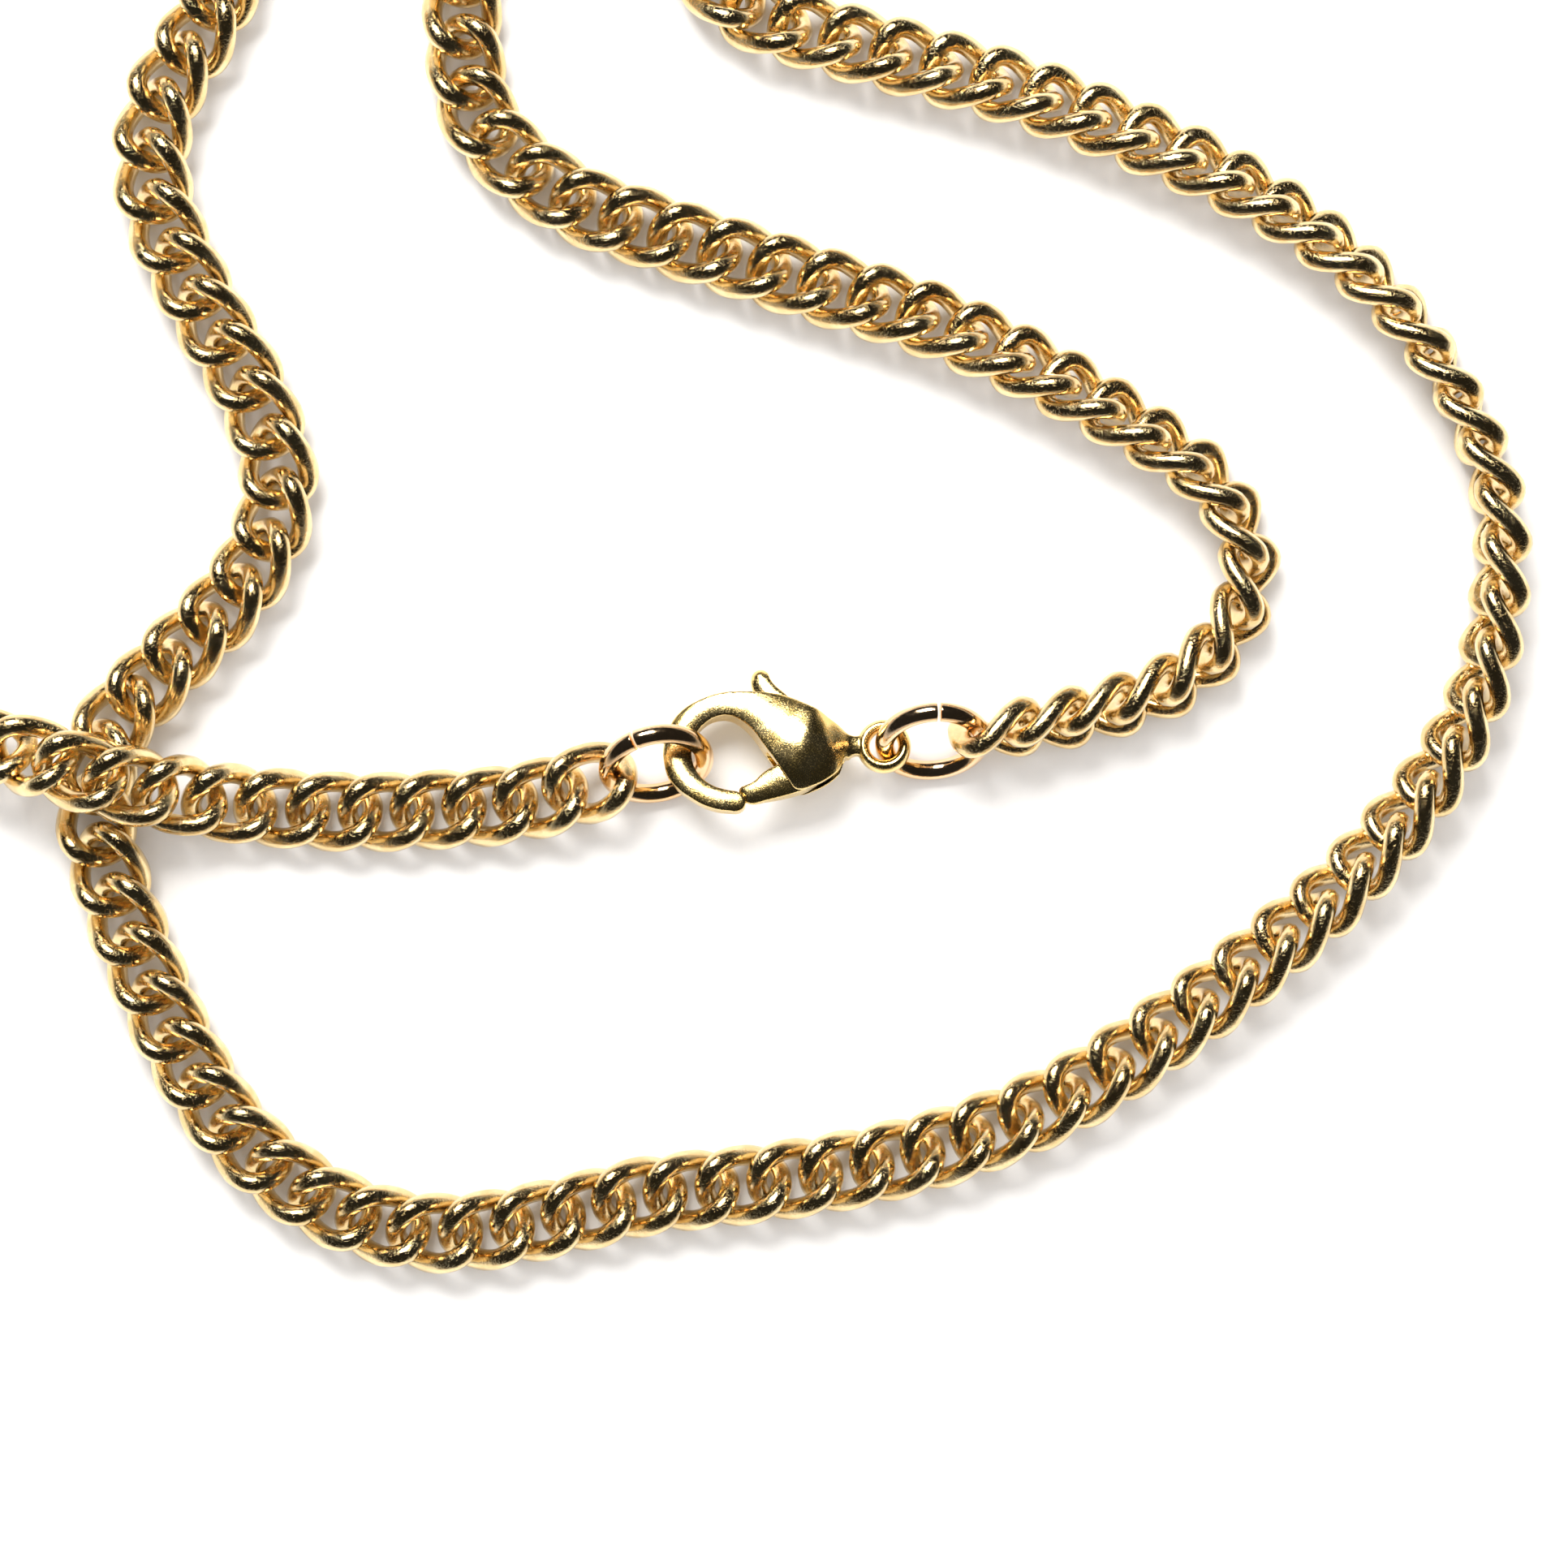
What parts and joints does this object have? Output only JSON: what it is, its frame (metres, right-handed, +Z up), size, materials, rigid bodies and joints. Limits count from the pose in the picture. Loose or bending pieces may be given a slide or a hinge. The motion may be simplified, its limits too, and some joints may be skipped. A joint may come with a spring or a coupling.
{
  "type": "curb chain necklace",
  "caption": "Gold curb chain necklace lying in loose loops, closed by a lobster clasp that hangs between two round jump rings.",
  "frame": {"origin": "on the supporting surface, under the middle of the whole necklace as it lies", "axes": "+Z up from the surface; +X along the longest way of the laid-out necklace, from the hook of the clasp towards its eye; +Y across, away from the clasp"},
  "size_m": [0.089, 0.0772, 0.0054],
  "materials": {
    "chain_gold": "polished",
    "ring_gold": "polished",
    "clasp_gold": "gloss",
    "spring_steel": "satin"
  },
  "bodies": {
    "link_right_01": {"link_right_01": "chain_gold"},
    "link_right_02": {"link_right_02": "chain_gold"},
    "link_right_03": {"link_right_03": "chain_gold"},
    "link_right_04": {"link_right_04": "chain_gold"},
    "link_right_05": {"link_right_05": "chain_gold"},
    "link_right_06": {"link_right_06": "chain_gold"},
    "link_right_07": {"link_right_07": "chain_gold"},
    "link_right_08": {"link_right_08": "chain_gold"},
    "link_right_09": {"link_right_09": "chain_gold"},
    "link_right_10": {"link_right_10": "chain_gold"},
    "run_01": {"run_01": "chain_gold"},
    "run_02": {"run_02": "chain_gold"},
    "run_03": {"run_03": "chain_gold"},
    "run_04": {"run_04": "chain_gold"},
    "run_05": {"run_05": "chain_gold"},
    "run_06": {"run_06": "chain_gold"},
    "run_07": {"run_07": "chain_gold"},
    "run_08": {"run_08": "chain_gold"},
    "run_09": {"run_09": "chain_gold"},
    "run_10": {"run_10": "chain_gold"},
    "run_11": {"run_11": "chain_gold"},
    "run_12": {"run_12": "chain_gold"},
    "run_13": {"run_13": "chain_gold"},
    "run_14": {"run_14": "chain_gold"},
    "run_15": {"run_15": "chain_gold"},
    "run_16": {"run_16": "chain_gold"},
    "run_17": {"run_17": "chain_gold"},
    "run_18": {"run_18": "chain_gold"},
    "run_19": {"run_19": "chain_gold"},
    "run_20": {"run_20": "chain_gold"},
    "run_21": {"run_21": "chain_gold"},
    "run_22": {"run_22": "chain_gold"},
    "run_23": {"run_23": "chain_gold"},
    "run_24": {"run_24": "chain_gold"},
    "run_25": {"run_25": "chain_gold"},
    "run_26": {"run_26": "chain_gold"},
    "run_27": {"run_27": "chain_gold"},
    "run_28": {"run_28": "chain_gold"},
    "run_29": {"run_29": "chain_gold"},
    "run_30": {"run_30": "chain_gold"},
    "run_31": {"run_31": "chain_gold"},
    "run_32": {"run_32": "chain_gold"},
    "run_33": {"run_33": "chain_gold"},
    "link_left_10": {"link_left_10": "chain_gold"},
    "link_left_09": {"link_left_09": "chain_gold"},
    "link_left_08": {"link_left_08": "chain_gold"},
    "link_left_07": {"link_left_07": "chain_gold"},
    "link_left_06": {"link_left_06": "chain_gold"},
    "link_left_05": {"link_left_05": "chain_gold"},
    "link_left_04": {"link_left_04": "chain_gold"},
    "link_left_03": {"link_left_03": "chain_gold"},
    "link_left_02": {"link_left_02": "chain_gold"},
    "link_left_01": {"link_left_01": "chain_gold"},
    "jump_ring_right": {"jump_ring_right": "ring_gold"},
    "jump_ring_left": {"jump_ring_left": "ring_gold"},
    "clasp": {"clasp_body": "clasp_gold", "clasp_rivet": "clasp_gold", "clasp_spring": "spring_steel"},
    "clasp_lever": {"clasp_lever": "clasp_gold"}
  },
  "joints": [
    {"name": "run_20_hinge", "type": "hinge", "parent": "run_21", "child": "run_20", "pos_m": [-0.02379, -0.02246, 0.0016], "axis": [0.3229, -0.9464, 0], "range_deg": [0, 6]},
    {"name": "run_22_hinge", "type": "hinge", "parent": "run_21", "child": "run_22", "pos_m": [-0.02507, -0.01263, 0.00156], "axis": [0.9298, -0.3681, 0], "range_deg": [0, 6]},
    {"name": "run_23_hinge", "type": "hinge", "parent": "run_22", "child": "run_23", "pos_m": [-0.01858, -0.00485, 0.00169], "axis": [0.8158, -0.5783, 0], "range_deg": [0, 6]},
    {"name": "run_24_hinge", "type": "hinge", "parent": "run_23", "child": "run_24", "pos_m": [-0.01817, 0.00469, 0.0017], "axis": [0.9039, 0.4278, 0], "range_deg": [0, 6]},
    {"name": "run_25_hinge", "type": "hinge", "parent": "run_24", "child": "run_25", "pos_m": [-0.0226, 0.01387, 0.0017], "axis": [0.9699, 0.2436, 0], "range_deg": [0, 6]},
    {"name": "run_26_hinge", "type": "hinge", "parent": "run_25", "child": "run_26", "pos_m": [-0.01999, 0.02337, 0.00167], "axis": [0.9014, -0.4329, 0], "range_deg": [0, 6]},
    {"name": "run_27_hinge", "type": "hinge", "parent": "run_26", "child": "run_27", "pos_m": [-0.01975, 0.03314, 0.00161], "axis": [0.8987, 0.4385, 0], "range_deg": [0, 6]},
    {"name": "run_19_hinge", "type": "hinge", "parent": "run_20", "child": "run_19", "pos_m": [-0.01899, -0.03144, 0.00153], "axis": [0.5172, -0.8559, 0], "range_deg": [0, 6]},
    {"name": "run_18_hinge", "type": "hinge", "parent": "run_19", "child": "run_18", "pos_m": [-0.01036, -0.03646, 0.00144], "axis": [0.8493, -0.5279, 0], "range_deg": [0, 6]},
    {"name": "run_17_hinge", "type": "hinge", "parent": "run_18", "child": "run_17", "pos_m": [-0.00029, -0.03522, 0.00142], "axis": [0.9753, -0.2208, 0], "range_deg": [0, 6]},
    {"name": "run_16_hinge", "type": "hinge", "parent": "run_17", "child": "run_16", "pos_m": [0.00984, -0.03378, 0.00155], "axis": [0.9856, -0.169, 0], "range_deg": [0, 6]},
    {"name": "run_15_hinge", "type": "hinge", "parent": "run_16", "child": "run_15", "pos_m": [0.01965, -0.03098, 0.00174], "axis": [0.9995, 0.0306, 0], "range_deg": [0, 6]},
    {"name": "run_14_hinge", "type": "hinge", "parent": "run_15", "child": "run_14", "pos_m": [0.02831, -0.02557, 0.00191], "axis": [0.9759, 0.218, 0], "range_deg": [0, 6]},
    {"name": "run_13_hinge", "type": "hinge", "parent": "run_14", "child": "run_13", "pos_m": [0.03604, -0.01888, 0.00204], "axis": [0.9335, 0.3586, 0], "range_deg": [0, 6]},
    {"name": "run_12_hinge", "type": "hinge", "parent": "run_13", "child": "run_12", "pos_m": [0.04176, -0.01048, 0.00209], "axis": [0.8105, 0.5857, 0], "range_deg": [0, 6]},
    {"name": "run_11_hinge", "type": "hinge", "parent": "run_12", "child": "run_11", "pos_m": [0.04276, -0.00044, 0.00208], "axis": [0.5576, 0.8301, 0], "range_deg": [0, 6]},
    {"name": "run_10_hinge", "type": "hinge", "parent": "run_11", "child": "run_10", "pos_m": [0.03801, 0.00849, 0.00209], "axis": [0.2569, 0.9664, 0], "range_deg": [0, 6]},
    {"name": "run_09_hinge", "type": "hinge", "parent": "run_10", "child": "run_09", "pos_m": [0.02999, 0.01475, 0.00203], "axis": [0.0132, 0.9999, 0], "range_deg": [0, 6]},
    {"name": "run_08_hinge", "type": "hinge", "parent": "run_09", "child": "run_08", "pos_m": [0.02063, 0.01888, 0.00191], "axis": [-0.1338, 0.991, 0], "range_deg": [0, 6]},
    {"name": "run_07_hinge", "type": "hinge", "parent": "run_08", "child": "run_07", "pos_m": [0.01081, 0.02175, 0.00172], "axis": [-0.2392, 0.971, 0], "range_deg": [0, 6]},
    {"name": "run_06_hinge", "type": "hinge", "parent": "run_07", "child": "run_06", "pos_m": [0.0032, 0.02767, 0.00156], "axis": [0.0491, 0.9988, 0], "range_deg": [0, 6]},
    {"name": "run_05_hinge", "type": "hinge", "parent": "run_06", "child": "run_05", "pos_m": [-0.00458, 0.03113, 0.0015], "axis": [-0.7709, 0.6369, 0], "range_deg": [0, 6]},
    {"name": "run_04_hinge", "type": "hinge", "parent": "run_05", "child": "run_04", "pos_m": [-0.00767, 0.02196, 0.00143], "axis": [-0.979, 0.204, 0], "range_deg": [0, 6]},
    {"name": "run_03_hinge", "type": "hinge", "parent": "run_04", "child": "run_03", "pos_m": [-0.00232, 0.01399, 0.00141], "axis": [-0.9821, -0.1885, 0], "range_deg": [0, 6]},
    {"name": "run_02_hinge", "type": "hinge", "parent": "run_03", "child": "run_02", "pos_m": [0.0073, 0.01056, 0.00159], "axis": [-0.9871, -0.1603, 0], "range_deg": [0, 6]},
    {"name": "run_01_hinge", "type": "hinge", "parent": "run_02", "child": "run_01", "pos_m": [0.01698, 0.00726, 0.00189], "axis": [-0.9998, -0.0202, 0], "range_deg": [0, 6]},
    {"name": "link_right_10_hinge", "type": "hinge", "parent": "run_01", "child": "link_right_10", "pos_m": [0.02592, 0.00229, 0.00206], "axis": [-0.99, 0.1408, 0], "range_deg": [0, 8]},
    {"name": "link_right_09_hinge", "type": "hinge", "parent": "link_right_10", "child": "link_right_09", "pos_m": [0.02795, 0.00075, 0.00207], "axis": [-0.9755, 0.22, 0], "range_deg": [0, 8]},
    {"name": "link_right_08_hinge", "type": "hinge", "parent": "link_right_09", "child": "link_right_08", "pos_m": [0.02959, -0.00117, 0.00208], "axis": [-0.9228, 0.3852, 0], "range_deg": [0, 8]},
    {"name": "link_right_07_hinge", "type": "hinge", "parent": "link_right_08", "child": "link_right_07", "pos_m": [0.03046, -0.0035, 0.00208], "axis": [-0.8172, 0.5763, 0], "range_deg": [0, 8]},
    {"name": "link_right_06_hinge", "type": "hinge", "parent": "link_right_07", "child": "link_right_06", "pos_m": [0.0302, -0.00594, 0.00209], "axis": [-0.6225, 0.7826, 0], "range_deg": [0, 8]},
    {"name": "link_right_05_hinge", "type": "hinge", "parent": "link_right_06", "child": "link_right_05", "pos_m": [0.02889, -0.00807, 0.00208], "axis": [-0.4595, 0.8882, 0], "range_deg": [0, 8]},
    {"name": "link_right_04_hinge", "type": "hinge", "parent": "link_right_05", "child": "link_right_04", "pos_m": [0.02695, -0.00967, 0.00206], "axis": [-0.3001, 0.9539, 0], "range_deg": [0, 8]},
    {"name": "link_right_03_hinge", "type": "hinge", "parent": "link_right_04", "child": "link_right_03", "pos_m": [0.02463, -0.01069, 0.00207], "axis": [-0.1825, 0.9832, 0], "range_deg": [0, 8]},
    {"name": "link_right_02_hinge", "type": "hinge", "parent": "link_right_03", "child": "link_right_02", "pos_m": [0.02217, -0.01135, 0.00223], "axis": [-0.139, 0.9903, 0], "range_deg": [0, 8]},
    {"name": "link_right_01_hinge", "type": "hinge", "parent": "link_right_02", "child": "link_right_01", "pos_m": [0.01968, -0.01185, 0.00254], "axis": [-0.1133, 0.9936, 0], "range_deg": [0, 8]},
    {"name": "jump_ring_right_hinge", "type": "hinge", "parent": "link_right_01", "child": "jump_ring_right", "pos_m": [0.01806, -0.01233, 0.00261], "axis": [-0.0197, 0.9998, 0], "range_deg": [0, 10]},
    {"name": "clasp_hinge", "type": "hinge", "parent": "jump_ring_right", "child": "clasp", "pos_m": [0.01291, -0.01283, 0.0023], "axis": [-0.0158, 0.9999, 0], "range_deg": [0, 10]},
    {"name": "clasp_lever_hinge", "type": "hinge", "parent": "clasp", "child": "clasp_lever", "pos_m": [0.00939, -0.01354, 0.00245], "axis": [0, -0.2079, -0.9781], "range_deg": [0, 22], "stiffness_Nm_per_rad": 0.002, "springref_deg": -17.19},
    {"name": "jump_ring_left_hinge", "type": "hinge", "parent": "clasp", "child": "jump_ring_left", "pos_m": [0.00386, -0.01361, 0.00248], "axis": [-0.0077, 1, 0], "range_deg": [0, 10]},
    {"name": "link_left_01_hinge", "type": "hinge", "parent": "jump_ring_left", "child": "link_left_01", "pos_m": [-0.001, -0.01415, 0.00233], "axis": [0.0017, 1, 0], "range_deg": [0, 10]},
    {"name": "link_left_02_hinge", "type": "hinge", "parent": "link_left_01", "child": "link_left_02", "pos_m": [-0.00264, -0.01499, 0.00196], "axis": [-0.1263, 0.992, 0], "range_deg": [0, 8]},
    {"name": "link_left_03_hinge", "type": "hinge", "parent": "link_left_02", "child": "link_left_03", "pos_m": [-0.0051, -0.01556, 0.00162], "axis": [-0.0446, 0.999, 0], "range_deg": [0, 8]},
    {"name": "link_left_04_hinge", "type": "hinge", "parent": "link_left_03", "child": "link_left_04", "pos_m": [-0.00763, -0.01584, 0.00142], "axis": [0.0176, 0.9998, 0], "range_deg": [0, 8]},
    {"name": "link_left_05_hinge", "type": "hinge", "parent": "link_left_04", "child": "link_left_05", "pos_m": [-0.01019, -0.01597, 0.00138], "axis": [0.0378, 0.9993, 0], "range_deg": [0, 8]},
    {"name": "link_left_06_hinge", "type": "hinge", "parent": "link_left_05", "child": "link_left_06", "pos_m": [-0.01275, -0.01602, 0.00139], "axis": [0.076, 0.9971, 0], "range_deg": [0, 8]},
    {"name": "link_left_07_hinge", "type": "hinge", "parent": "link_left_06", "child": "link_left_07", "pos_m": [-0.0153, -0.01593, 0.00138], "axis": [0.1161, 0.9932, 0], "range_deg": [0, 8]},
    {"name": "link_left_08_hinge", "type": "hinge", "parent": "link_left_07", "child": "link_left_08", "pos_m": [-0.01783, -0.01571, 0.00156], "axis": [0.15, 0.9887, 0], "range_deg": [0, 8]},
    {"name": "link_left_09_hinge", "type": "hinge", "parent": "link_left_08", "child": "link_left_09", "pos_m": [-0.02024, -0.01538, 0.00226], "axis": [0.1944, 0.9809, 0], "range_deg": [0, 8]},
    {"name": "link_left_10_hinge", "type": "hinge", "parent": "link_left_09", "child": "link_left_10", "pos_m": [-0.02254, -0.01496, 0.00329], "axis": [0.2165, 0.9763, 0], "range_deg": [0, 8]},
    {"name": "run_33_hinge", "type": "hinge", "parent": "link_left_10", "child": "run_33", "pos_m": [-0.02491, -0.0144, 0.00394], "axis": [0.2623, 0.965, 0], "range_deg": [0, 8]},
    {"name": "run_32_hinge", "type": "hinge", "parent": "run_33", "child": "run_32", "pos_m": [-0.03419, -0.0114, 0.00181], "axis": [0.4396, 0.8982, 0], "range_deg": [0, 6]},
    {"name": "run_31_hinge", "type": "hinge", "parent": "run_32", "child": "run_31", "pos_m": [-0.04115, -0.00424, 0.0014], "axis": [0.9089, 0.417, 0], "range_deg": [0, 6]},
    {"name": "run_30_hinge", "type": "hinge", "parent": "run_31", "child": "run_30", "pos_m": [-0.04217, 0.00577, 0.00144], "axis": [0.9818, -0.1901, 0], "range_deg": [0, 6]},
    {"name": "run_29_hinge", "type": "hinge", "parent": "run_30", "child": "run_29", "pos_m": [-0.03862, 0.01533, 0.00146], "axis": [0.8855, -0.4647, 0], "range_deg": [0, 6]},
    {"name": "run_28_hinge", "type": "hinge", "parent": "run_29", "child": "run_28", "pos_m": [-0.03399, 0.02446, 0.0015], "axis": [0.9061, -0.4231, 0], "range_deg": [0, 6]}
  ]
}
